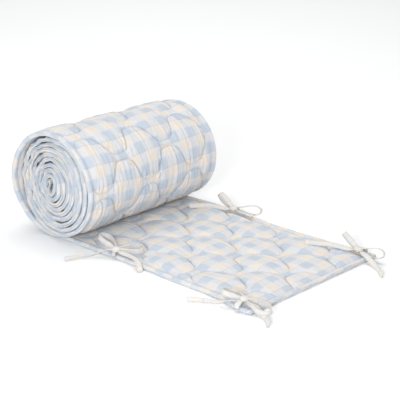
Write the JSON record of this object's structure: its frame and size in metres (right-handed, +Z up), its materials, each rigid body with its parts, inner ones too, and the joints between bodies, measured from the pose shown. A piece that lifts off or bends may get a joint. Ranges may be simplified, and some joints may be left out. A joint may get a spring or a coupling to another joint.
{
  "type": "quilted crib bumper, partly unrolled",
  "caption": "Long quilted gingham strip for a cot's rails, rolled up with one end laid flat, with fabric ties in bows on both edges.",
  "frame": {"origin": "on the supporting surface, straight under the roll's axis, in the middle of the strip's width", "axes": "+X along the strip from the roll to its free end, +Y across the strip, +Z up"},
  "size_m": [0.6317, 0.3839, 0.1994],
  "materials": {
    "gingham_quilt": "soft cotton, blue and cream gingham check, quilted",
    "gingham_tie": "the same cotton, folded and stitched into a strap"
  },
  "bodies": {
    "root": {"quilted_strip": "gingham_quilt", "tie_near_roll": "gingham_tie", "tie_near_end": "gingham_tie", "tie_far_roll": "gingham_tie", "tie_far_end": "gingham_tie"}
  },
  "joints": []
}
